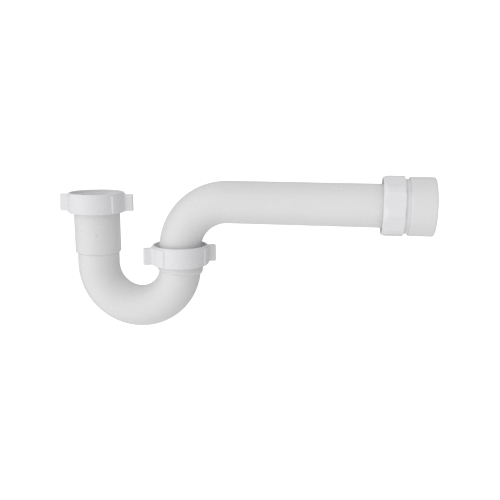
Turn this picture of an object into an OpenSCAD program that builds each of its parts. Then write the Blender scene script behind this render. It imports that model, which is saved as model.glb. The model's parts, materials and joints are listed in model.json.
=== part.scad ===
// Tubular sink P trap: a J-bend, a trap arm and a wall adapter, joined by three slip joints.
// Each slip joint is a threaded hub, a bevelled washer and a nut that presses the washer home.
// Origin: on the inlet axis, where the straight wall of the inlet socket begins.
// +Z is up along the inlet, +X runs along the arm to the wall.

/* [Drain tube] */
// Outside diameter of the drain tube, nominal 1-1/2 inch
tube_od = 38.1; // [37.9:0.1:38.2]
// Wall thickness of the drain tube
tube_wall = 1.6; // [1.4:0.1:2]
// Radial gap between a tube and the hub that it slides into
slip_gap = 0.25; // [0.2:0.05:0.35]

/* [J-bend] */
// Distance between the axes of the two legs
leg_spacing = 79; // [78:1:84]
// Height of the inlet mouth above the centre of the bend
inlet_rise = 57; // [54:1:64]
// Height of the outlet mouth above the centre of the bend
outlet_rise = 10.5; // [10:0.5:12]
// Length of the inlet hub, from its mouth to its outer shoulder
inlet_hub_l = 46; // [40:1:48]
// Length of the outlet hub, from its mouth to its outer shoulder
outlet_hub_l = 14.5; // [14:0.5:16]
// Outside diameter of the hubs below the thread
hub_od = 41.7; // [41.5:0.1:42.5]

/* [Trap arm] */
// Centreline radius of the bend in the arm
arm_bend_r = 45; // [44:1:50]
// Height of the straight leg below the arm's bend
arm_leg_l = 16.8; // [16.4:0.1:17.4]
// Length of the straight run, from the bend to the end inside the adapter
arm_run_l = 157.6; // [120:0.1:180]

/* [Threads] */
// Diameter over the thread ridges, as on a 1-1/2 inch slip joint
thread_od = 47.6; // [47.2:0.1:47.8]
// Distance between thread ridges, 11.5 to the inch
thread_pitch = 2.209; // [2:0.001:2.3]
// Height of a thread ridge
thread_depth = 1.2; // [1:0.1:1.3]
// Length of the threaded end of a hub
thread_l = 7.6; // [7.4:0.1:7.8]
// Radial running clearance between the ridges and a nut
thread_gap = 0.1; // [0.08:0.01:0.1]

/* [Slip nuts] */
// Height of a nut
nut_h = 18.3; // [18:0.1:20]
// Outside diameter of a winged nut between its raised pads
nut_od = 50.8; // [50.4:0.1:51.4]
// Outside diameter over the raised pads
pad_od = 52.8; // [52.4:0.1:54]
// Angle that each raised pad covers
pad_angle = 87; // [82, 84, 86, 87]
// Distance across the tips of the two wings
wing_span = 68; // [64:1:72]
// Thickness of a wing
wing_t = 4.5; // [4:0.1:5.5]
// Turn of the inlet nut about its axis
inlet_nut_turn = 7.5; // [0:0.5:45]
// Turn of the outlet nut about its axis
outlet_nut_turn = 27; // [0:0.5:45]

/* [Wall nut] */
// Outside diameter of the wall nut at its corners
wall_nut_od = 52.6; // [52.4:0.1:53.4]
// Distance across opposite flats of the wall nut
wall_nut_flats = 50.5; // [50.2:0.1:51]
// Number of flats on the wall nut
wall_nut_sides = 8; // [8, 10, 12]
// Length of the tapered chamfer round the wall nut's mouth
wall_chamfer_l = 3.8; // [3:0.1:4.4]
// Turn of the wall nut about its axis
wall_nut_turn = 39; // [0:1:45]

/* [Wall adapter] */
// Outside diameter of the adapter's body
adapter_od = 50.8; // [50.4:0.1:52]
// Length of the adapter's body
adapter_body_l = 21.7; // [21:0.1:24]
// Length of the neck left open between the nut and the body
neck_l = 3.9; // [3:0.1:5]
// Diameter of the neck
neck_od = 47.2; // [46.8:0.1:47.2]
// Bore of the solvent socket for a nominal 1-1/4 inch pipe
pipe_socket_d = 42.4; // [42.3:0.1:42.5]
// Depth of the pipe socket
pipe_socket_l = 17.5; // [16:0.1:18]

/* [Hidden] */
$fn = 96;
overcut = 1;

// Tubes and hubs
tube_r = tube_od / 2;
tube_bore_r = tube_r - tube_wall;
hub_r = hub_od / 2;
hub_bore_r = tube_r + slip_gap;
hub_round = hub_r - tube_r;
socket_floor = 2;

// Threads
thread_r = thread_od / 2;
thread_root_r = thread_r - thread_depth;
ridge_foot = 1.5;
ridge_crest = 0.5;
ridge_count = 3;
first_ridge = 1.4;
runout = thread_root_r - hub_r;

// Bevelled seat in each mouth and the washer that fits it
seat_r = hub_bore_r + 2.2;
seat_l = 2.6;
seat_slope = (seat_r - hub_bore_r) / seat_l;
seat_gap = 0.1;
washer_bore_r = tube_r + 0.5;
washer_r = thread_root_r;
washer_flange = 2.2;
washer_nose = 1.7;

// Heights of the mouths and of the bend's centre
inlet_z = seat_l;
bend_r = leg_spacing / 2;
bend_z = inlet_z - inlet_rise;
outlet_z = bend_z + outlet_rise;

// Nuts, measured up from their open end
web_t = 1.5;
dish_depth = 6.5;
dish_floor_r = 22.2;
ledge_depth = 3.4;
ledge_r = 23.6;
mouth_r = 24.2;
mouth_lip = 0.5;
web_hole_r = tube_r + 1.1;
nut_bore_r = thread_r + thread_gap;
bore_lead = 0.5;
web_z = nut_h - dish_depth - web_t;
nut_overlap = web_z - washer_flange;
crest_round = 1.1;
nut_r = nut_od / 2;
pad_r = pad_od / 2;
pad_low = 0.9;
pad_high = nut_h - 1.8;
pad_bite = 0.5;
wing_round = 1.2;
wing_r = wing_span / 2;
wall_nut_r = wall_nut_od / 2;
wall_crest_r = mouth_r + 0.7;
wall_taper = (wall_nut_r - wall_crest_r) / wall_chamfer_l;

// Trap arm and adapter
end_gap = 1;
arm_x = leg_spacing + arm_bend_r;
arm_low_z = outlet_z - outlet_hub_l + socket_floor + end_gap;
arm_bend_z = arm_low_z + arm_leg_l;
arm_z = arm_bend_z + arm_bend_r;
arm_end_x = arm_x + arm_run_l;
arm_insert = 12.1;
adapter_x = arm_end_x - arm_insert;
adapter_r = adapter_od / 2;
adapter_l = nut_overlap + neck_l + adapter_body_l;
adapter_round = 1.4;
entry_lead = 0.6;

// A bar of the outline, from the axis out to r, between two heights
module bar(r, low, high)
    translate([0, low])
        square([r, high - low]);

// Outline of a bar whose outer corner at the given height is round
module round_corner(r, height, edge)
    translate([r - edge, height])
        circle(edge);

// Thread ridges in outline, below a mouth at height 0
module thread_outline()
    for (i = [0 : ridge_count - 1])
        translate([thread_root_r, -first_ridge - i * thread_pitch])
            polygon([[-0.2, -ridge_foot / 2], [0, -ridge_foot / 2],
                     [thread_depth, -ridge_crest / 2], [thread_depth, ridge_crest / 2],
                     [0, ridge_foot / 2], [-0.2, ridge_foot / 2]]);

// Threaded hub in outline, its mouth at height 0
module hub_outline(length) {
    bar(thread_root_r, -thread_l, 0);
    polygon([[0, -thread_l - runout], [hub_r, -thread_l - runout],
             [thread_root_r, -thread_l], [0, -thread_l]]);
    thread_outline();
    bar(hub_r, -length + hub_round, 0);
    bar(hub_r - hub_round, -length, 0);
    round_corner(hub_r, -length + hub_round, hub_round);
}

// Bore and bevelled seat to cut from a mouth at height 0
module mouth_cut(depth) {
    translate([0, 0, -depth])
        cylinder(r = hub_bore_r, h = depth + overcut);
    translate([0, 0, -seat_l])
        cylinder(r1 = hub_bore_r, r2 = seat_r, h = seat_l);
}

// Places a part drawn with its mouth at height 0 at the inlet, the outlet or the wall
module at_inlet()
    translate([0, 0, inlet_z])
        children();

module at_outlet()
    translate([leg_spacing, 0, outlet_z])
        children();

module at_wall()
    translate([adapter_x, 0, arm_z])
        rotate([0, -90, 0])
            children();

// Half-turn of solid bar at the bottom of the J-bend
module j_half_turn(r)
    translate([bend_r, 0, bend_z])
        rotate([90, 0, 0])
            rotate([0, 0, 180])
                rotate_extrude(angle = 180)
                    translate([bend_r, 0])
                        circle(r);

module j_bend()
    color("white")
        difference() {
            union() {
                j_half_turn(tube_r);
                translate([0, 0, bend_z])
                    cylinder(r = tube_r, h = inlet_rise - inlet_hub_l + hub_round);
                at_inlet()
                    rotate_extrude()
                        hub_outline(inlet_hub_l);
                at_outlet()
                    rotate_extrude()
                        hub_outline(outlet_hub_l);
            }
            j_half_turn(tube_bore_r);
            translate([0, 0, bend_z])
                cylinder(r = tube_bore_r, h = inlet_rise);
            at_inlet()
                mouth_cut(inlet_hub_l - socket_floor);
            at_outlet()
                mouth_cut(outlet_hub_l - socket_floor);
        }

// Solid bar along the arm's route: up the leg, round the bend, along the run
module arm_route(r, past_end) {
    translate([leg_spacing, 0, arm_low_z - past_end])
        cylinder(r = r, h = arm_leg_l + past_end);
    translate([arm_x, 0, arm_bend_z])
        rotate([90, 0, 0])
            rotate([0, 0, 90])
                rotate_extrude(angle = 90)
                    translate([arm_bend_r, 0])
                        circle(r);
    translate([arm_x, 0, arm_z])
        rotate([0, 90, 0])
            cylinder(r = r, h = arm_run_l + past_end);
}

module trap_arm()
    color("white")
        difference() {
            arm_route(tube_r, 0);
            arm_route(tube_bore_r, overcut);
        }

module adapter_outline() {
    bar(thread_root_r, -thread_l, 0);
    thread_outline();
    bar(neck_od / 2, -nut_overlap - neck_l - overcut, -thread_l);
    bar(adapter_r, -adapter_l + adapter_round, -nut_overlap - neck_l - adapter_round);
    bar(adapter_r - adapter_round, -adapter_l, -nut_overlap - neck_l);
    round_corner(adapter_r, -adapter_l + adapter_round, adapter_round);
    round_corner(adapter_r, -nut_overlap - neck_l - adapter_round, adapter_round);
}

module trap_adapter()
    color("white")
        at_wall()
            difference() {
                rotate_extrude()
                    adapter_outline();
                mouth_cut(adapter_l - pipe_socket_l);
                translate([0, 0, -adapter_l - overcut])
                    cylinder(d = pipe_socket_d, h = pipe_socket_l + overcut);
                translate([0, 0, -adapter_l])
                    cylinder(r1 = pipe_socket_d / 2 + entry_lead, r2 = pipe_socket_d / 2,
                             h = entry_lead);
            }

// Section of a nut: threaded bore below, web in the middle, stepped dish above
module nut_outline(outer_r, top_round, low_round)
    difference() {
        union() {
            bar(outer_r, low_round, nut_h - top_round);
            bar(outer_r - top_round, low_round, nut_h);
            bar(outer_r - low_round, 0, nut_h - top_round);
            round_corner(outer_r, nut_h - top_round, top_round);
            round_corner(outer_r, low_round, low_round);
        }
        bar(nut_bore_r, -overcut, web_z);
        bar(web_hole_r, -overcut, nut_h + overcut);
        polygon([[0, -overcut], [nut_bore_r + bore_lead, -overcut],
                 [nut_bore_r + bore_lead, 0], [nut_bore_r, bore_lead], [0, bore_lead]]);
        bar(dish_floor_r, web_z + web_t, nut_h + overcut);
        polygon([[0, nut_h - ledge_depth], [ledge_r, nut_h - ledge_depth],
                 [mouth_r - mouth_lip, nut_h - mouth_lip], [mouth_r, nut_h],
                 [mouth_r, nut_h + overcut], [0, nut_h + overcut]]);
    }

// Plan of one wing, its tip corners round
module wing_plan() {
    root_r = nut_r - pad_bite;
    translate([root_r, -wing_t / 2])
        square([wing_r - wing_round - root_r, wing_t]);
    translate([root_r, -wing_t / 2 + wing_round])
        square([wing_r - root_r, wing_t - 2 * wing_round]);
    for (side = [-1, 1])
        translate([wing_r - wing_round, side * (wing_t / 2 - wing_round)])
            circle(wing_round);
}

// Raised pad that a wing stands on
module pad()
    rotate([0, 0, -pad_angle / 2])
        rotate_extrude(angle = pad_angle)
            translate([nut_r - pad_bite, pad_low])
                square([pad_r - nut_r + pad_bite, pad_high - pad_low]);

// Winged nut seated on a mouth at height 0
module winged_nut(turn)
    translate([0, 0, -nut_overlap])
        rotate([0, 0, turn]) {
            rotate_extrude()
                nut_outline(nut_r, crest_round, bore_lead);
            for (side = [0, 180])
                rotate([0, 0, side]) {
                    pad();
                    translate([0, 0, pad_low])
                        linear_extrude(pad_high - pad_low)
                            wing_plan();
                }
        }

module inlet_slip_nut()
    color("white")
        at_inlet()
            winged_nut(inlet_nut_turn);

module outlet_slip_nut()
    color("white")
        at_outlet()
            winged_nut(outlet_nut_turn);

module wall_slip_nut()
    color("white")
        at_wall()
            translate([0, 0, -nut_overlap])
                intersection() {
                    rotate_extrude()
                        nut_outline(wall_nut_r, crest_round, bore_lead);
                    cylinder(r1 = wall_crest_r + wall_taper * nut_h, r2 = wall_crest_r, h = nut_h);
                    rotate([0, 0, wall_nut_turn])
                        cylinder(d = wall_nut_flats / cos(180 / wall_nut_sides), h = nut_h,
                                 $fn = wall_nut_sides);
                }

// Bevelled washer on a mouth at height 0: a flange above it, a cone down into the seat
module slip_washer()
    rotate_extrude()
        polygon([[washer_bore_r, -washer_nose],
                 [seat_r - seat_gap - seat_slope * washer_nose, -washer_nose],
                 [seat_r - seat_gap, 0], [washer_r, 0],
                 [washer_r, washer_flange], [washer_bore_r, washer_flange]]);

module inlet_washer()
    color("ivory")
        at_inlet()
            slip_washer();

module outlet_washer()
    color("ivory")
        at_outlet()
            slip_washer();

module wall_washer()
    color("ivory")
        at_wall()
            slip_washer();

j_bend();
trap_arm();
trap_adapter();
inlet_slip_nut();
outlet_slip_nut();
wall_slip_nut();
inlet_washer();
outlet_washer();
wall_washer();
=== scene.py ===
"""A tubular sink P trap in semi-gloss white plastic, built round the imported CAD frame.

Every piece is a closed grid of quads: rings of points, the same number in each ring, that run
along the outside of the piece and back through its bore. The pieces' lengths are in millimetres
until a mesh is made; the camera's and the stage's are in metres.
"""

import json
from math import ceil, cos, pi, radians, sin, tan

import bpy
import numpy as np
from mathutils import Matrix, Vector


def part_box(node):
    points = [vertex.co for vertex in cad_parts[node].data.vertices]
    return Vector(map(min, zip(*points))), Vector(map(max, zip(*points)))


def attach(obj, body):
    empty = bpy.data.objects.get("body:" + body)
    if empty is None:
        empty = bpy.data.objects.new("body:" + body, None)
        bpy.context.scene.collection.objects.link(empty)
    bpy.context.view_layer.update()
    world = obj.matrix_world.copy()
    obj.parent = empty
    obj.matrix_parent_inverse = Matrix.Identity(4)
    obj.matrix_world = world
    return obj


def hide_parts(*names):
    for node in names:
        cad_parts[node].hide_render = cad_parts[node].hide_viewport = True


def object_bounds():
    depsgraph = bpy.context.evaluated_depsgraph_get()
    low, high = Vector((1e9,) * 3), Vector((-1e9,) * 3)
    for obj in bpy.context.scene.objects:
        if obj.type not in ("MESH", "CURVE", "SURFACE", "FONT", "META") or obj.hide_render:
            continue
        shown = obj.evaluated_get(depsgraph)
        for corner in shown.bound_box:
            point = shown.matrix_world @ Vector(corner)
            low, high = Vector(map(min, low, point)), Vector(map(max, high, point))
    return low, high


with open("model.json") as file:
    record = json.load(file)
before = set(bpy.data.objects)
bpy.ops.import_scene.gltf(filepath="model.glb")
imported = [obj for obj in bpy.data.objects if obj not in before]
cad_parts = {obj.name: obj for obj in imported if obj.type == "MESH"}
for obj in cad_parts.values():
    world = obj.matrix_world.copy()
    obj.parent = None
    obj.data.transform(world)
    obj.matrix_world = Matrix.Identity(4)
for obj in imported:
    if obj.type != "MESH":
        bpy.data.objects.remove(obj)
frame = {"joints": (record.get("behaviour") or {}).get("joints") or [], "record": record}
cad_low, cad_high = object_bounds()

MM = 0.001

# ---------------------------------------------------------------- places, from the frame
joints = {joint["name"]: joint for joint in frame["joints"]}
mounts = {mount["name"]: mount for mount in frame["record"]["mounts"]}


def place(name):
    """Centre of the mouth that a nut turns about, in mm."""
    return np.array(joints[name]["pos_m"]) / MM


def node_low(node, axis):
    """Low side of a CAD node's box along an axis, in mm."""
    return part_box(node)[0][axis] / MM


def node_high(node, axis):
    """High side of a CAD node's box along an axis, in mm."""
    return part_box(node)[1][axis] / MM


INLET_MOUTH = place("inlet_nut_turn")
OUTLET_MOUTH = place("outlet_nut_turn")
WALL_MOUTH = place("wall_nut_turn")

# ---------------------------------------------------------------- sizes in mm, angles in degrees
TUBE_R = 19.05
TUBE_BORE = 17.45
HUB_R = 20.85
HUB_BORE = 19.3
HUB_ROUND = HUB_R - TUBE_R - 0.05
INLET_HUB = 46.0
OUTLET_HUB = 14.5
SOCKET_FLOOR = 2.0
SEAT_R = 21.5
SEAT_DEPTH = 2.6
NEAR = 0.01

BEND_R = (OUTLET_MOUTH[0] - INLET_MOUTH[0]) / 2
BEND_Z = node_low("j_bend", 2) + BEND_R + TUBE_R
ARM_Z = mounts["wall_hub"]["pos_m"][2] / MM
ARM_LOW = node_low("trap_arm", 2)
ARM_END = node_high("trap_arm", 0)
ARM_BEND_R = 45.0

# Each pair says how far inside its end a thread starts to rise, and where it is full.
PITCH = 2.209
THREAD_R = 23.8
THREAD_ROOT = 22.6
THREAD_LENGTH = 7.6
THREAD_STEP = 0.15
HUB_THREAD_LEAD = (0.5, 1.4)
HUB_THREAD_TAIL = (0.2, 1.2)
HUB_CONE_END = THREAD_LENGTH + 1.75
NUT_THREAD_R = 23.95
NUT_THREAD_CREST = 22.8
NUT_THREAD_LEAD = (0.6, 1.6)
NUT_THREAD_TAIL = (0.4, 1.4)

NUT_HEIGHT = 18.3
NUT_OVERLAP = 8.1
NUT_R = 25.4
NUT_CREST_ROUND = 1.1
NUT_FOOT_ROUND = 0.5
NUT_BORE_LEAD = 0.5
WEB_LOW = 10.3
WEB_HIGH = 11.8
WEB_HOLE = 20.15
DISH_FLOOR = 22.2
LEDGE_R = 23.6
LEDGE_DEPTH = 3.4
NUT_MOUTH = 24.2
NUT_LIP = 0.5
RIM_FLAT = 0.1
INLET_NUT_TURN = 7.5
OUTLET_NUT_TURN = 27.0

PAD_R = 26.4
PAD_ANGLE = 87.0
PAD_LOW = 0.9
PAD_HIGH = 16.5
PAD_MIDDLE = (PAD_LOW + PAD_HIGH) / 2
PAD_HALF = (PAD_HIGH - PAD_LOW) / 2
PAD_BITE = 1.5
PAD_ROUND = 0.3
PAD_BLEND = 0.2
WING_ROOT = 21.85
WING_R = 34.0
WING_TIP = WING_R - 0.15
WING_T = 4.5
WING_TAPER = 0.035
WING_DRAFT = 0.012
WING_ROUND = 0.9
WING_BLEND = 1.5
SKIN_HALVINGS = 26

WALL_NUT_R = 26.3
WALL_NUT_APOTHEM = 25.25
WALL_NUT_SIDES = 8
WALL_NUT_TURN = 39.0
WALL_CHAMFER = 3.8
WALL_CREST_R = 24.9
FLAT_BLEND = 0.2

ADAPTER_R = 25.4
ADAPTER_BODY = 12.0
ADAPTER_LENGTH = 33.7
NECK_R = 23.6
PIPE_SOCKET_R = 21.2
PIPE_SOCKET_DEPTH = 17.5
ADAPTER_SEAM = 0.3

WASHER_BORE = 19.55
WASHER_NOSE = 1.7
WASHER_R = 22.6
WASHER_FLANGE = 2.2

SEAM_HEIGHT = 0.13
SEAM_WIDTH = 0.3
LAND_HEIGHT = 0.4
LAND_HALF = 1.25
LAND_EDGE = 0.15
LAND_START = THREAD_LENGTH + 2.2
LAND_START_FULL = THREAD_LENGTH + 3.2
LAND_END_GAP = 2.4
LAND_END_HALF = 0.3
GATE_ANGLE = 285.6
GATE_DEPTH = 27.3
GATE_R = 1.6
GATE_HEIGHT = 0.42
GATE_EDGE = 0.3
GATE_ZONE = 2
DIMPLE_SHARE = 0.6
DIMPLE_FLOOR = 0.3
DIMPLE_R = 0.6

# Points round each piece, and the zones in degrees where they are closer together.
# A zone is its half width and its spacing.
BEND_POINTS = 144
ARM_POINTS = 160
ADAPTER_POINTS = 168
WINGED_POINTS = 180
WALL_NUT_POINTS = 160
WASHER_POINTS = 128
SEAM_ZONE = (4.5, 0.25)
GATE_MARK_ZONE = (4.5, 0.4)
WING_SIDE_ANGLE = 4.4
WING_SIDE_ZONE = (2.4, 0.15)
PAD_END_ZONE = (2.6, 0.25)
FLAT_CORNER_ZONE = (8.4, 0.6)

# ---------------------------------------------------------------- plastics, heights in mm
PLASTIC_IOR = 1.5
PEEL_STRENGTH = 0.25
SINK_STRENGTH = 0.35
SINK_HEIGHT = 0.14

# ---------------------------------------------------------------- camera and stage, in metres
CAMERA_AZIMUTH = -8.33
CAMERA_HEIGHT = 11.45
CAMERA_ROLL = 0.38
CAMERA_DISTANCE = 0.5492
CAMERA_LENS = 43.56
CAMERA_SENSOR = 36
CAMERA_CLIP = 0.01
AIM_OFFSET = Vector((0.0095, 0.0, 0.0033))

FLOOR_DROP = 0.5
FLOOR_RADII = (0.0, 0.5, 1.0)
COVE_R = 6.0
COVE_ROUND = 2.0
COVE_SIDES = 96
COVE_ARC = np.linspace(0.1, pi / 2, 16)
FLOOR_GREY = 0.9
FLOOR_ROUGHNESS = 0.9
FLOOR_GLOW = 0.55

# Each patch of studio light is its direction and its strength.
PATCH_EDGE = 0.3
PATCH_FULL = 0.95
STUDIO_PATCHES = [
    ((-1.0, 0.0, 0.0), 0.4),
    ((1.0, 0.0, 0.0), 0.35),
    ((0.0, -1.0, 0.0), 0.7),
    ((0.0, 1.0, 0.0), 0.45),
    ((0.0, 0.0, 1.0), 0.65),
    ((0.0, 0.0, -1.0), 0.65),
    ((-1.0, -1.0, 0.0), 0.5),
]


# ---------------------------------------------------------------- outlines
def steps_between(start, end, longest):
    """Points from start up to but not including end, no further apart than longest."""
    start, end = np.array(start, float), np.array(end, float)
    count = max(1, ceil(np.linalg.norm(end - start) / longest))
    return [tuple(start + (end - start) * i / count) for i in range(count)]


def rounded_corner(before, here, after, fillet):
    """Points of the arc that rounds one corner of a path."""
    to_before = before - here
    to_after = after - here
    to_before /= np.linalg.norm(to_before)
    to_after /= np.linalg.norm(to_after)
    half = np.arccos(np.clip(to_before @ to_after, -1, 1)) / 2
    back = fillet / tan(half)
    between = to_before + to_after
    centre = here + between / np.linalg.norm(between) * fillet / sin(half)
    start = here + to_before * back - centre
    end = here + to_after * back - centre
    turn = pi - 2 * half
    side = 1 if start[0] * end[1] - start[1] * end[0] > 0 else -1
    pieces = max(3, ceil(turn / radians(18)))
    arc = []
    for k in range(pieces + 1):
        angle = side * turn * k / pieces
        spin = np.array([[cos(angle), -sin(angle)], [sin(angle), cos(angle)]])
        arc.append(centre + spin @ start)
    return arc


def outline(corners, closed=True):
    """Rounds the corners of a path.

    Each corner is its radius, its height, its fillet and the longest step to the next corner.
    """
    count = len(corners)
    places = [np.array(corner[:2], float) for corner in corners]
    arcs = []
    for i, corner in enumerate(corners):
        is_end = not closed and i in (0, count - 1)
        if corner[2] == 0 or is_end:
            arcs.append([places[i]])
        else:
            arcs.append(rounded_corner(places[i - 1], places[i], places[(i + 1) % count], corner[2]))
    points = []
    for i, arc in enumerate(arcs):
        points += [tuple(point) for point in arc[:-1]]
        if closed or i < count - 1:
            points += steps_between(arc[-1], arcs[(i + 1) % count][0], corners[i][3])
        else:
            points.append(tuple(arc[-1]))
    return np.array(points)


def angles(count, dense=()):
    """Angles round a ring in radians, with more of them in each dense zone.

    A dense zone is its centre, its half width and its spacing, in degrees.
    """
    apart = 0.25
    even = [i * 360 / count for i in range(count)]
    near = []
    for centre, half, spacing in dense:
        extra = max(1, round(2 * half / spacing))
        near += [(centre - half + 2 * half * k / extra) % 360 for k in range(extra + 1)]
    kept = [a for a in even if all(abs((a - b + 180) % 360 - 180) > apart for b in near)]
    merged = sorted(set(round(a, 4) for a in kept + near))
    return np.radians(merged)


def seam_zones():
    """Dense zones at the two mould seams."""
    return [(side, *SEAM_ZONE) for side in (0, 180)]


def ring_grid(profile, around):
    """Radius, height and angle of every point of an outline turned through the given angles."""
    radius = np.repeat(profile[:, :1], len(around), axis=1)
    height = np.repeat(profile[:, 1:2], len(around), axis=1)
    angle = np.repeat(around[None, :], len(profile), axis=0)
    return radius, height, angle


# ---------------------------------------------------------------- surface relief
def fade(value, start, end):
    """Smooth rise from 0 at start to 1 at end."""
    share = np.clip((value - start) / (end - start), 0, 1)
    return share * share * (3 - 2 * share)


def off_centre(angle, centre):
    """Signed angle from centre to angle, within half a turn."""
    return (angle - centre + pi) % (2 * pi) - pi


def tooth(phase):
    """Height from 0 to 1 of a trapezoid thread whose crest is at a whole number of turns."""
    offset = np.abs(phase - np.round(phase))
    foot, crest = 0.31, 0.12
    return np.clip((foot - offset) / (foot - crest), 0, 1)


def hub_thread(height, angle):
    """How far a hub's thread stands out of its root, height below the mouth being negative."""
    turns = height / PITCH - angle / (2 * pi)
    live = fade(-height, *HUB_THREAD_LEAD)
    live = live * fade(height, HUB_THREAD_TAIL[0] - THREAD_LENGTH, HUB_THREAD_TAIL[1] - THREAD_LENGTH)
    return (THREAD_R - THREAD_ROOT) * tooth(turns) * live


def nut_thread(height, angle):
    """How far a nut's thread stands into its bore; it lies in the hub's grooves at rest."""
    turns = height / PITCH - angle / (2 * pi) + 0.5
    web = NUT_OVERLAP - WEB_LOW
    live = fade(height, NUT_THREAD_LEAD[0] - NUT_OVERLAP, NUT_THREAD_LEAD[1] - NUT_OVERLAP)
    live = live * fade(-height, web + NUT_THREAD_TAIL[0], web + NUT_THREAD_TAIL[1])
    return (NUT_THREAD_R - NUT_THREAD_CREST) * tooth(turns) * live


def seam(angle, radius):
    """Low ridges where the two halves of a mould met, one on each side."""
    height = 0
    for centre in (0, pi):
        height = height + SEAM_HEIGHT * np.exp(-(off_centre(angle, centre) * radius / SEAM_WIDTH) ** 2)
    return height


def land(angle, radius):
    """Flat raised strip that the mould's parting line runs along, on both sides of a hub."""
    height = 0
    for centre in (0, pi):
        off = np.abs(off_centre(angle, centre)) * radius
        height = height + LAND_HEIGHT * (1 - fade(off, LAND_HALF - LAND_EDGE, LAND_HALF + LAND_EDGE))
    return height


def gate_mark(angle, along):
    """Round button with a dimple in it, left where the plastic was let into the inlet hub's mould."""
    around = (angle - radians(GATE_ANGLE)) * HUB_R
    away = np.hypot(around, along - GATE_DEPTH)
    button = 1 - fade(away, GATE_R - GATE_EDGE, GATE_R)
    dimple = DIMPLE_SHARE * (1 - fade(away, DIMPLE_FLOOR, DIMPLE_R))
    return GATE_HEIGHT * (button - dimple)


# ---------------------------------------------------------------- meshes
def ring_mesh(name, rings):
    """A closed mesh from rings of points, an array (ring, point in the ring, xyz) in mm."""
    ring_count, point_count = rings.shape[:2]
    index = np.arange(ring_count * point_count).reshape(ring_count, point_count)
    next_ring = np.roll(index, -1, axis=0)
    quads = np.stack([index, np.roll(index, -1, axis=1),
                      np.roll(next_ring, -1, axis=1), next_ring], axis=-1).reshape(-1, 4)
    points = rings.reshape(-1, 3) * MM
    a, b, c, d = (points[quads[:, k]] for k in range(4))
    volume = np.einsum("ij,ij->i", a, np.cross(b, c)).sum()
    volume += np.einsum("ij,ij->i", a, np.cross(c, d)).sum()
    if volume < 0:
        quads = quads[:, ::-1]
    mesh = bpy.data.meshes.new(name)
    mesh.from_pydata(points.tolist(), [], quads.tolist())
    mesh.validate()
    mesh.shade_smooth()
    piece = bpy.data.objects.new(name, mesh)
    bpy.context.scene.collection.objects.link(piece)
    return piece


def turned(profile, around, relief=None):
    """Rings of an outline turned about the local Z axis, each radius changed by relief."""
    radius, height, angle = ring_grid(profile, around)
    if relief is not None:
        radius = radius + relief(radius, height, angle)
    return np.stack([radius * np.cos(angle), radius * np.sin(angle), height], axis=-1)


def swept(centre, inward, radius, angle):
    """Rings round a bent centreline, from each ring's centre and its inward side vector."""
    side = np.array([0.0, 1.0, 0.0])
    return (centre[:, None, :]
            + (radius * np.cos(angle))[..., None] * inward[:, None, :]
            + (radius * np.sin(angle))[..., None] * side)


def at_wall(rings):
    """Turns local Z to face the arm, along -X, and moves the mouth to the adapter's."""
    x, y, z = rings[..., 0], rings[..., 1], rings[..., 2]
    return np.stack([-z, y, x], axis=-1) + WALL_MOUTH


# ---------------------------------------------------------------- J-bend
def j_bend_path(along):
    """Centre and inward side vector at a distance along the bend's centreline from the inlet mouth."""
    inlet_leg = INLET_MOUTH[2] - BEND_Z
    turn = np.clip((along - inlet_leg) / BEND_R, 0, pi)
    down = np.minimum(along, inlet_leg)
    up = np.maximum(along - inlet_leg - pi * BEND_R, 0)
    x = BEND_R - BEND_R * np.cos(turn)
    z = INLET_MOUTH[2] - down - BEND_R * np.sin(turn) + up
    centre = np.stack([x, np.zeros_like(x), z], axis=-1)
    inward = np.stack([np.cos(turn), np.zeros_like(x), np.sin(turn)], axis=-1)
    return centre, inward


def j_bend_outside(total):
    """Outside corners from the inlet's mouth to the outlet's, heights being distances along."""
    return [
        (SEAT_R, 0, 0.25, 1.0),
        (THREAD_ROOT, 0, 0.4, THREAD_STEP),
        (THREAD_ROOT, THREAD_LENGTH, 0.5, 0.4),
        (HUB_R, HUB_CONE_END, 0.8, 1.2),
        (HUB_R, GATE_DEPTH - GATE_ZONE, 0, 0.2),
        (HUB_R, GATE_DEPTH + GATE_ZONE, 0, 1.2),
        (HUB_R, INLET_HUB, HUB_ROUND, 0.5),
        (TUBE_R, INLET_HUB, 0.5, 1.5),
        (TUBE_R, total - OUTLET_HUB, 0.5, 0.5),
        (HUB_R, total - OUTLET_HUB, HUB_ROUND, 1.2),
        (HUB_R, total - HUB_CONE_END, 0.8, 0.4),
        (THREAD_ROOT, total - THREAD_LENGTH, 0.5, THREAD_STEP),
        (THREAD_ROOT, total, 0.4, 1.0),
        (SEAT_R, total, 0.25, 0.6),
    ]


def j_bend_inside(total):
    """Bore corners from the outlet's mouth back to the inlet's."""
    return [
        (HUB_BORE, total - SEAT_DEPTH, 0.3, 1.5),
        (HUB_BORE, total - OUTLET_HUB + SOCKET_FLOOR, 0.2, 0.8),
        (TUBE_BORE, total - OUTLET_HUB + SOCKET_FLOOR, 0.6, 1.5),
        (TUBE_BORE, INLET_HUB - SOCKET_FLOOR, 0.6, 0.8),
        (HUB_BORE, INLET_HUB - SOCKET_FLOOR, 0.2, 2.5),
        (HUB_BORE, SEAT_DEPTH, 0.3, 0.6),
    ]


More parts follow.
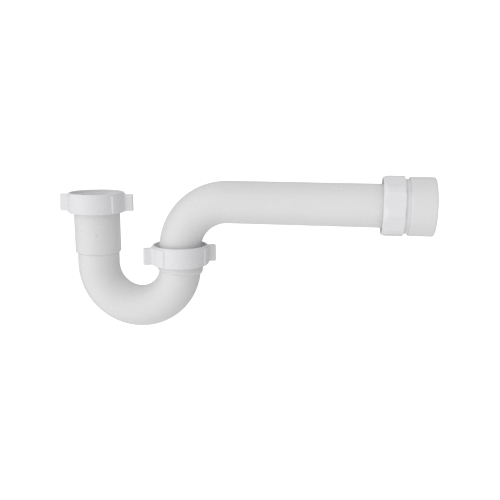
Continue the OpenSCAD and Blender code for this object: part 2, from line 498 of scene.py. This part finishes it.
def j_bend_relief(radius, along, angle, total):
    """Threads on both hubs; seams, flat strips and the gate mark on the hubs' plain walls."""
    thread = hub_thread(-along, angle) + hub_thread(along - total, pi - angle)
    plain = (radius > HUB_BORE + 0.3) & (radius < THREAD_ROOT - 0.5)
    from_mouth = np.minimum(along, total - along)
    hub_end = np.where(along < total / 2, INLET_HUB, OUTLET_HUB) - LAND_END_GAP
    on_hub = fade(from_mouth, LAND_START, LAND_START_FULL)
    on_hub = on_hub * fade(-from_mouth, -hub_end - LAND_END_HALF, -hub_end + LAND_END_HALF)
    marks = seam(angle, radius) + on_hub * land(angle, radius) + gate_mark(angle, along)
    return np.where(radius > THREAD_ROOT - NEAR, thread, 0) + np.where(plain, marks, 0)


def make_j_bend():
    total = (INLET_MOUTH[2] - BEND_Z) + pi * BEND_R + (OUTLET_MOUTH[2] - BEND_Z)
    profile = outline(j_bend_outside(total) + j_bend_inside(total))
    around = angles(BEND_POINTS, seam_zones() + [(GATE_ANGLE, *GATE_MARK_ZONE)])
    radius, along, angle = ring_grid(profile, around)
    radius = radius + j_bend_relief(radius, along, angle, total)
    centre, inward = j_bend_path(profile[:, 1])
    return ring_mesh("trap_bend_shell", swept(centre, inward, radius, angle))


# ---------------------------------------------------------------- trap arm
def trap_arm_path(along, leg):
    """Centre and inward side vector at a distance along the arm's centreline from its low end."""
    turn = np.clip((along - leg) / ARM_BEND_R, 0, pi / 2)
    rise = np.minimum(along, leg)
    run = np.maximum(along - leg - ARM_BEND_R * pi / 2, 0)
    level = np.zeros_like(turn)
    x = OUTLET_MOUTH[0] + ARM_BEND_R * (1 - np.cos(turn)) + run
    z = ARM_LOW + rise + ARM_BEND_R * np.sin(turn)
    centre = np.stack([x, level, z], axis=-1)
    inward = np.stack([np.cos(turn), level, -np.sin(turn)], axis=-1)
    return centre, inward


def make_trap_arm():
    leg = ARM_Z - ARM_BEND_R - ARM_LOW
    total = leg + ARM_BEND_R * pi / 2 + ARM_END - OUTLET_MOUTH[0] - ARM_BEND_R
    profile = outline([
        (TUBE_R, 0, 0.5, 1.6),
        (TUBE_R, total, 0.5, 0.5),
        (TUBE_BORE, total, 0.4, 2.0),
        (TUBE_BORE, 0, 0.4, 0.5),
    ])
    radius, along, angle = ring_grid(profile, angles(ARM_POINTS))
    centre, inward = trap_arm_path(along[:, 0], leg)
    return ring_mesh("trap_arm_tube", swept(centre, inward, radius, angle))


# ---------------------------------------------------------------- wall adapter
def adapter_relief(radius, height, angle):
    """Thread on the hub and a faint seam on the body."""
    thread = np.where(radius > THREAD_ROOT - NEAR, hub_thread(height, angle), 0)
    is_body = radius > NECK_R + 0.3
    return thread + np.where(is_body, ADAPTER_SEAM * seam(angle, radius), 0)


def make_adapter():
    socket_floor = -ADAPTER_LENGTH + PIPE_SOCKET_DEPTH
    profile = outline([
        (SEAT_R, 0, 0.25, 1.0),
        (THREAD_ROOT, 0, 0.4, THREAD_STEP),
        (THREAD_ROOT, -THREAD_LENGTH, 0.4, 0.4),
        (NECK_R, -THREAD_LENGTH - 0.6, 0.3, 1.0),
        (NECK_R, -ADAPTER_BODY, 0.5, 0.6),
        (ADAPTER_R, -ADAPTER_BODY, 1.2, 2.0),
        (ADAPTER_R, -ADAPTER_LENGTH, 1.3, 1.0),
        (PIPE_SOCKET_R, -ADAPTER_LENGTH, 0.7, 2.0),
        (PIPE_SOCKET_R, socket_floor, 0.2, 0.6),
        (HUB_BORE, socket_floor, 0.4, 2.0),
        (HUB_BORE, -SEAT_DEPTH, 0.3, 0.6),
    ])
    around = angles(ADAPTER_POINTS, seam_zones())
    return ring_mesh("adapter_body", at_wall(turned(profile, around, adapter_relief)))


# ---------------------------------------------------------------- nuts
def nut_inside():
    """Crest, stepped dish, web, threaded bore and lead of a nut, from its crest down to its open end."""
    return outline([
        (NUT_MOUTH + RIM_FLAT, NUT_HEIGHT, 0, 0.3),
        (NUT_MOUTH, NUT_HEIGHT, 0, 0.3),
        (NUT_MOUTH - NUT_LIP, NUT_HEIGHT - NUT_LIP, 0.4, 0.6),
        (LEDGE_R, NUT_HEIGHT - LEDGE_DEPTH, 0.3, 0.5),
        (DISH_FLOOR, NUT_HEIGHT - LEDGE_DEPTH, 0.35, 0.6),
        (DISH_FLOOR, WEB_HIGH, 0.4, 0.6),
        (WEB_HOLE, WEB_HIGH, 0.35, 0.5),
        (WEB_HOLE, WEB_LOW, 0.35, 0.9),
        (NUT_THREAD_R, WEB_LOW, 0.4, 0.16),
        (NUT_THREAD_R, NUT_BORE_LEAD, 0.2, 0.3),
        (NUT_THREAD_R + NUT_BORE_LEAD, 0, 0, 0.3),
    ], closed=False)


def nut_bore_relief(radius, height, angle):
    bore = (np.abs(radius - NUT_THREAD_R) < 2 * NEAR) & (height < WEB_LOW)
    return -np.where(bore, nut_thread(height - NUT_OVERLAP, angle), 0)


def blend_low(a, b, softness):
    """Smooth minimum of two fields, which leaves a fillet of about that radius where they meet."""
    share = np.clip(0.5 + 0.5 * (b - a) / softness, 0, 1)
    return b * (1 - share) + a * share - softness * share * (1 - share)


def round_box(offsets, halves, edge):
    """Signed distance to a box with round edges, from offsets to its middle."""
    outside = [np.abs(offset) - half + edge for offset, half in zip(offsets, halves)]
    beyond = sum(np.maximum(q, 0) ** 2 for q in outside) ** 0.5
    within = np.minimum(np.maximum.reduce([np.broadcast_to(q, beyond.shape) for q in outside]), 0)
    return beyond + within - edge


def pad_field(radius, angle, height, side):
    """Below 0 inside the raised pad on one side of a winged nut. Its two ends slope at 45 degrees."""
    around = off_centre(angle, side) * NUT_R
    reach = radians(PAD_ANGLE / 2) * NUT_R + (PAD_R + NUT_R) / 2 - radius
    return round_box([radius - (PAD_R - PAD_BITE), around, height - PAD_MIDDLE],
                     [PAD_BITE, reach, PAD_HALF], PAD_ROUND)


def wing_field(radius, angle, height, side):
    """Below 0 inside the wing on one side of a winged nut.

    The wing is thinner further out, and reaches a little less far at its top.
    """
    out = radius * np.cos(angle - side)
    across = radius * np.sin(angle - side)
    taper = 1 - WING_TAPER * (out - PAD_R) / (WING_R - PAD_R)
    draft = WING_DRAFT * (height - PAD_MIDDLE)
    return round_box([out - (WING_ROOT + WING_TIP) / 2 + draft, across / taper, height - PAD_MIDDLE],
                     [(WING_TIP - WING_ROOT) / 2, WING_T / 2, PAD_HALF], WING_ROUND)


def winged_field(radius, angle, height, ring_r):
    """Below 0 inside the outer skin of a winged nut: its ring, two raised pads and two wings."""
    field = radius - ring_r
    for side in (0, pi):
        field = blend_low(field, pad_field(radius, angle, height, side), PAD_BLEND)
    for side in (0, pi):
        field = blend_low(field, wing_field(radius, angle, height, side), WING_BLEND)
    return field


def winged_levels():
    """Height and ring radius of each ring of a winged nut's outer skin, from its open end to its crest."""
    crest, foot = NUT_CREST_ROUND, NUT_FOOT_ROUND
    low_arc = [(foot - foot * cos(a), NUT_R - foot + foot * sin(a)) for a in np.linspace(0, pi / 2, 5)]
    high_arc = [(NUT_HEIGHT - crest + crest * sin(a), NUT_R - crest + crest * cos(a))
                for a in np.linspace(0, pi / 2, 8)]
    close_by = (0.0, 0.02, 0.06, 0.14, 0.26, 0.42, 0.62, 0.9, 1.25)
    fine = [edge + side * d for edge in (PAD_LOW, PAD_HIGH) for side in (-1, 1) for d in close_by]
    wall = [z for z in fine if foot + 0.05 < z < NUT_HEIGHT - crest - 0.05]
    wall += list(np.linspace(PAD_LOW + 1.8, PAD_HIGH - 1.8, 12))
    heights = sorted(set(round(z, 4) for z in wall))
    return np.array(low_arc + [(z, NUT_R) for z in heights] + high_arc)


def winged_angles():
    """Angles of a winged nut's points, close together at its wings' sides and its pads' ends."""
    wing_sides = [(side + s * WING_SIDE_ANGLE, *WING_SIDE_ZONE) for side in (0, 180) for s in (-1, 1)]
    pad_ends = [(side + s * PAD_ANGLE / 2, *PAD_END_ZONE) for side in (0, 180) for s in (-1, 1)]
    return angles(WINGED_POINTS, wing_sides + pad_ends)


def winged_skin(around):
    """Radius, height and angle of a winged nut's outer skin, where its field changes sign.

    Each radius is found by halving the way from inside the ring to beyond the wings' tips.
    """
    levels = winged_levels()
    ring_r, height, angle = ring_grid(levels[:, ::-1], around)
    inner = ring_r - 1.0
    outer = np.full_like(ring_r, WING_R + 1)
    for _ in range(SKIN_HALVINGS):
        middle = (inner + outer) / 2
        solid = winged_field(middle, angle, height, ring_r) < 0
        inner, outer = np.where(solid, middle, inner), np.where(solid, outer, middle)
    return np.maximum((inner + outer) / 2, ring_r), height, angle


def make_winged_nut(name, mouth, turn):
    around = winged_angles()
    radius, height, angle = winged_skin(around)
    angle = angle + radians(turn)
    skin = np.stack([radius * np.cos(angle), radius * np.sin(angle), height], axis=-1)
    bore = turned(nut_inside(), around + radians(turn), nut_bore_relief)
    rings = np.concatenate([skin, bore[1:]])
    rings[..., 2] -= NUT_OVERLAP
    return ring_mesh(name, rings + mouth)


def wall_nut_flats(radius, height, angle):
    """Change of radius, 0 or below, that cuts the flats into the nut's round outline."""
    each = 2 * pi / WALL_NUT_SIDES
    off = (angle - radians(WALL_NUT_TURN)) % each - each / 2
    return blend_low(radius, WALL_NUT_APOTHEM / np.cos(off), FLAT_BLEND) - radius


def make_wall_nut():
    corners = [WALL_NUT_TURN + k * 360 / WALL_NUT_SIDES for k in range(WALL_NUT_SIDES)]
    around = angles(WALL_NUT_POINTS, [(corner, *FLAT_CORNER_ZONE) for corner in corners])
    outside = outline([
        (NUT_THREAD_R + NUT_BORE_LEAD, 0, 0, 0.3),
        (WALL_NUT_R, 0, 0.7, 0.8),
        (WALL_NUT_R, NUT_HEIGHT - WALL_CHAMFER, 0.8, 0.2),
        (WALL_CREST_R, NUT_HEIGHT, 0.35, 0.4),
        (NUT_MOUTH + RIM_FLAT, NUT_HEIGHT, 0, 0.3),
    ], closed=False)
    skin = turned(outside, around, wall_nut_flats)
    bore = turned(nut_inside(), around, nut_bore_relief)
    rings = np.concatenate([skin[1:], bore[1:]])
    rings[..., 2] -= NUT_OVERLAP
    return ring_mesh("wall_nut_body", at_wall(rings))


# ---------------------------------------------------------------- washers
def washer_rings():
    """Rings of a bevelled washer: its nose below its mouth's level, its flange above."""
    return turned(outline([
        (WASHER_BORE, -WASHER_NOSE, 0.1, 0.6),
        (WASHER_BORE + 0.4, -WASHER_NOSE, 0.1, 0.6),
        (SEAT_R - 0.12, 0, 0.12, 0.6),
        (WASHER_R, 0, 0.3, 0.6),
        (WASHER_R, WASHER_FLANGE, 0.4, 0.6),
        (WASHER_BORE, WASHER_FLANGE, 0.3, 0.8),
    ]), angles(WASHER_POINTS))


# ---------------------------------------------------------------- materials
def new_material(name):
    material = bpy.data.materials.new(name)
    material.use_nodes = True
    tree = material.node_tree
    shader = next(node for node in tree.nodes if node.type == "BSDF_PRINCIPLED")
    return material, tree, shader


def noise(tree, coordinates, scale, detail, roughness=0.5):
    node = tree.nodes.new("ShaderNodeTexNoise")
    node.inputs["Scale"].default_value = scale
    node.inputs["Detail"].default_value = detail
    node.inputs["Roughness"].default_value = roughness
    tree.links.new(coordinates, node.inputs["Vector"])
    return node.outputs["Fac"]


def spread(tree, value, from_range, to_range):
    """Maps the part of a noise within from_range to to_range."""
    node = tree.nodes.new("ShaderNodeMapRange")
    node.inputs["From Min"].default_value = from_range[0]
    node.inputs["From Max"].default_value = from_range[1]
    node.inputs["To Min"].default_value = to_range[0]
    node.inputs["To Max"].default_value = to_range[1]
    tree.links.new(value, node.inputs["Value"])
    return node.outputs["Result"]


def bump(tree, height, strength, distance):
    """A bump whose distance is in mm."""
    node = tree.nodes.new("ShaderNodeBump")
    node.inputs["Strength"].default_value = strength
    node.inputs["Distance"].default_value = distance * MM
    tree.links.new(height, node.inputs["Height"])
    return node


def clouding(tree, coordinates, clean, dull):
    """Colour that wanders faintly between clean and dull."""
    mix = tree.nodes.new("ShaderNodeMix")
    mix.data_type = "RGBA"
    mix.inputs["A"].default_value = (*clean, 1)
    mix.inputs["B"].default_value = (*dull, 1)
    clouds = noise(tree, coordinates, scale=22, detail=4)
    tree.links.new(spread(tree, clouds, (0.3, 0.7), (0, 1)), mix.inputs["Factor"])
    return mix.outputs["Result"]


def scuffs(tree, coordinates):
    """Fine streaks that run one way and are rougher than the skin round them."""
    stretch = tree.nodes.new("ShaderNodeMapping")
    stretch.inputs["Scale"].default_value = (1.0, 1.0, 9.0)
    stretch.inputs["Rotation"].default_value = (0.6, 0.9, 0.3)
    tree.links.new(coordinates, stretch.inputs["Vector"])
    scratches = noise(tree, stretch.outputs["Vector"], scale=520, detail=2, roughness=0.7)
    return spread(tree, scratches, (0.66, 0.78), (0.0, 0.16))


def uneven_gloss(tree, coordinates, gloss):
    """Roughness near gloss, patchy, with scuffs added."""
    patchy = noise(tree, coordinates, scale=60, detail=6, roughness=0.6)
    total = tree.nodes.new("ShaderNodeMath")
    total.operation = "ADD"
    tree.links.new(spread(tree, patchy, (0.3, 0.7), (gloss - 0.05, gloss + 0.06)), total.inputs[0])
    tree.links.new(scuffs(tree, coordinates), total.inputs[1])
    return total.outputs["Value"]


def moulded_plastic(name, clean, dull, gloss, grain_height):
    """Moulded white plastic: faint clouding, uneven gloss, scuffs, orange peel and shallow sinks."""
    material, tree, shader = new_material(name)
    coordinates = tree.nodes.new("ShaderNodeTexCoord").outputs["Object"]
    tree.links.new(clouding(tree, coordinates, clean, dull), shader.inputs["Base Color"])
    tree.links.new(uneven_gloss(tree, coordinates, gloss), shader.inputs["Roughness"])
    peel = bump(tree, noise(tree, coordinates, scale=900, detail=3), PEEL_STRENGTH, grain_height)
    sink = bump(tree, noise(tree, coordinates, scale=45, detail=2), SINK_STRENGTH, SINK_HEIGHT)
    tree.links.new(peel.outputs["Normal"], sink.inputs["Normal"])
    tree.links.new(sink.outputs["Normal"], shader.inputs["Normal"])
    shader.inputs["IOR"].default_value = PLASTIC_IOR
    return material


# ---------------------------------------------------------------- stage
def cove_curve():
    """Outline of the floor and the dome it sweeps up into, as radius and height from the middle out."""
    floor_z = cad_low[2] - FLOOR_DROP
    turn_r = COVE_R - COVE_ROUND
    wall_z = floor_z + COVE_ROUND
    curve = [(r, floor_z) for r in (*FLOOR_RADII, turn_r)]
    curve += [(turn_r + COVE_ROUND * sin(a), wall_z - COVE_ROUND * cos(a)) for a in COVE_ARC]
    curve += [(COVE_R * cos(a), wall_z + COVE_R * sin(a)) for a in COVE_ARC]
    return curve


def make_floor_material():
    material, _, shader = new_material("floor_white")
    shader.inputs["Base Color"].default_value = (FLOOR_GREY, FLOOR_GREY, FLOOR_GREY, 1)
    shader.inputs["Roughness"].default_value = FLOOR_ROUGHNESS
    shader.inputs["Emission Color"].default_value = (1, 1, 1, 1)
    shader.inputs["Emission Strength"].default_value = FLOOR_GLOW
    return material


def make_cove():
    """Pale floor that sweeps up into a pale dome. It is plain background and sheds no light on the trap."""
    curve = cove_curve()
    points = [(r * cos(2 * pi * k / COVE_SIDES), r * sin(2 * pi * k / COVE_SIDES), z)
              for r, z in curve for k in range(COVE_SIDES)]
    quads = []
    for i in range(len(curve) - 1):
        low = i * COVE_SIDES
        high = low + COVE_SIDES
        for k in range(COVE_SIDES):
            beside = (k + 1) % COVE_SIDES
            quads.append((low + k, low + beside, high + beside, high + k))
    mesh = bpy.data.meshes.new("floor")
    mesh.from_pydata(points, [], quads)
    mesh.validate()
    mesh.shade_smooth()
    floor = bpy.data.objects.new("floor", mesh)
    bpy.context.scene.collection.objects.link(floor)
    floor.data.materials.append(make_floor_material())
    floor.visible_diffuse = False
    floor.visible_glossy = False
    floor.visible_shadow = False


def make_camera():
    data = bpy.data.cameras.new("camera")
    data.sensor_width = CAMERA_SENSOR
    data.lens = CAMERA_LENS
    data.clip_start = CAMERA_CLIP
    camera = bpy.data.objects.new("camera", data)
    middle = (Vector(cad_low) + Vector(cad_high)) / 2
    aim = Vector((middle.x, 0, middle.z)) + AIM_OFFSET
    azimuth, height = radians(CAMERA_AZIMUTH), radians(CAMERA_HEIGHT)
    look = Vector((sin(azimuth) * cos(height), cos(azimuth) * cos(height), -sin(height)))
    camera.location = aim - look * CAMERA_DISTANCE
    turn = look.to_track_quat("-Z", "Y").to_matrix().to_4x4()
    camera.rotation_euler = (turn @ Matrix.Rotation(radians(CAMERA_ROLL), 4, "Z")).to_euler()
    bpy.context.scene.collection.objects.link(camera)
    bpy.context.scene.camera = camera


def light_patch(tree, direction, strength):
    """Soft patch of light round a direction, full within about 18 degrees and gone beyond about 73."""
    source = tree.nodes.new("ShaderNodeTexCoord").outputs["Generated"]
    dot = tree.nodes.new("ShaderNodeVectorMath")
    dot.operation = "DOT_PRODUCT"
    dot.inputs[1].default_value = Vector(direction).normalized()
    tree.links.new(source, dot.inputs[0])
    patch = tree.nodes.new("ShaderNodeMapRange")
    patch.interpolation_type = "SMOOTHSTEP"
    patch.inputs["From Min"].default_value = PATCH_EDGE
    patch.inputs["From Max"].default_value = PATCH_FULL
    patch.inputs["To Min"].default_value = 0.0
    patch.inputs["To Max"].default_value = strength
    tree.links.new(dot.outputs["Value"], patch.inputs["Value"])
    return patch.outputs["Result"]


def make_studio():
    """White studio: the sum of the soft patches, brightest at the front left."""
    world = bpy.data.worlds.new("studio")
    world.use_nodes = True
    tree = world.node_tree
    background = tree.nodes["Background"]
    background.inputs["Color"].default_value = (1, 1, 1, 1)
    total = None
    for direction, strength in STUDIO_PATCHES:
        light = light_patch(tree, direction, strength)
        if total is not None:
            add = tree.nodes.new("ShaderNodeMath")
            add.operation = "ADD"
            tree.links.new(total, add.inputs[0])
            tree.links.new(light, add.inputs[1])
            light = add.outputs["Value"]
        total = light
    tree.links.new(total, background.inputs["Strength"])
    bpy.context.scene.world = world


def settle(piece, body, node, material):
    """Gives a piece its material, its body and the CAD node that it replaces."""
    piece.data.materials.append(material)
    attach(piece, body)
    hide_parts(node)


# ---------------------------------------------------------------- build
make_camera()
pipe = moulded_plastic("pipe_white", (0.80, 0.80, 0.81), (0.785, 0.785, 0.795), 0.28, 0.03)
nut = moulded_plastic("nut_white", (0.845, 0.845, 0.86), (0.83, 0.83, 0.845), 0.27, 0.02)
soft = moulded_plastic("washer_milky", (0.74, 0.745, 0.73), (0.70, 0.705, 0.69), 0.5, 0.04)

settle(make_j_bend(), "bend", "j_bend", pipe)
settle(make_trap_arm(), "arm", "trap_arm", pipe)
settle(make_adapter(), "adapter", "trap_adapter", pipe)
settle(make_winged_nut("inlet_nut_body", INLET_MOUTH, INLET_NUT_TURN),
       "inlet_nut", "inlet_slip_nut", nut)
settle(make_winged_nut("outlet_nut_body", OUTLET_MOUTH, OUTLET_NUT_TURN),
       "outlet_nut", "outlet_slip_nut", nut)
settle(make_wall_nut(), "wall_nut", "wall_slip_nut", nut)
settle(ring_mesh("inlet_washer_ring", washer_rings() + INLET_MOUTH),
       "inlet_washer", "inlet_washer", soft)
settle(ring_mesh("outlet_washer_ring", washer_rings() + OUTLET_MOUTH),
       "outlet_washer", "outlet_washer", soft)
settle(ring_mesh("wall_washer_ring", at_wall(washer_rings())),
       "wall_washer", "wall_washer", soft)

make_cove()
make_studio()
bpy.context.scene.view_settings.view_transform = "Standard"
